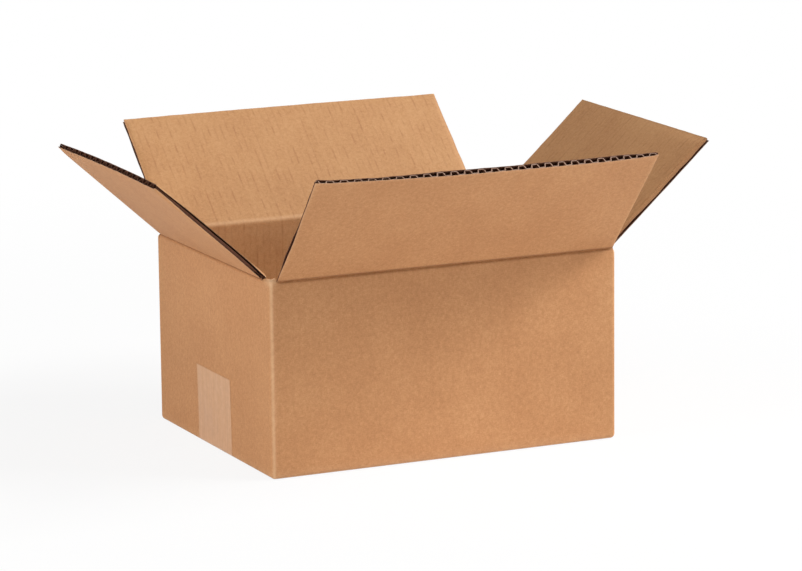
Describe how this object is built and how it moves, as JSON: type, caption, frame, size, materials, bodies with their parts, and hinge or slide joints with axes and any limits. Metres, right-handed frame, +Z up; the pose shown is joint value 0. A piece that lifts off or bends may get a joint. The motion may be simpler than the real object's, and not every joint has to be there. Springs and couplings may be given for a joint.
{
  "type": "open slotted shipping carton",
  "caption": "Open corrugated shipping carton with hinged top flaps and a taped base, for packing small goods.",
  "frame": {"origin": "centre of the base, on the surface that the carton stands on", "axes": "+X along the long front wall, +Y from the front wall to the back wall, +Z up"},
  "size_m": [0.3339, 0.2792, 0.1736],
  "materials": {
    "kraft_board": "matt brown kraft liner with visible fibres",
    "clear_tape": "clear film tape, seen as a paler strip over the kraft"
  },
  "bodies": {
    "carton": {"carton_body": "kraft_board", "sealing_tape": "clear_tape"},
    "front_flap": {"front_flap": "kraft_board"},
    "back_flap": {"back_flap": "kraft_board"},
    "left_flap": {"left_flap": "kraft_board"},
    "right_flap": {"right_flap": "kraft_board"}
  },
  "joints": [
    {"name": "front_flap_score", "type": "hinge", "parent": "carton", "child": "front_flap", "pos_m": [0, -0.08132, 0.11165], "axis": [1, 0, 0], "range_deg": [-131.5, 88.5]},
    {"name": "back_flap_score", "type": "hinge", "parent": "carton", "child": "back_flap", "pos_m": [0, 0.08132, 0.11165], "axis": [-1, 0, 0], "range_deg": [-138, 82]},
    {"name": "left_flap_score", "type": "hinge", "parent": "carton", "child": "left_flap", "pos_m": [-0.10463, 0, 0.10905], "axis": [0, -1, 0], "range_deg": [-138, 82]},
    {"name": "right_flap_score", "type": "hinge", "parent": "carton", "child": "right_flap", "pos_m": [0.10463, 0, 0.10905], "axis": [0, 1, 0], "range_deg": [-139, 81]}
  ]
}
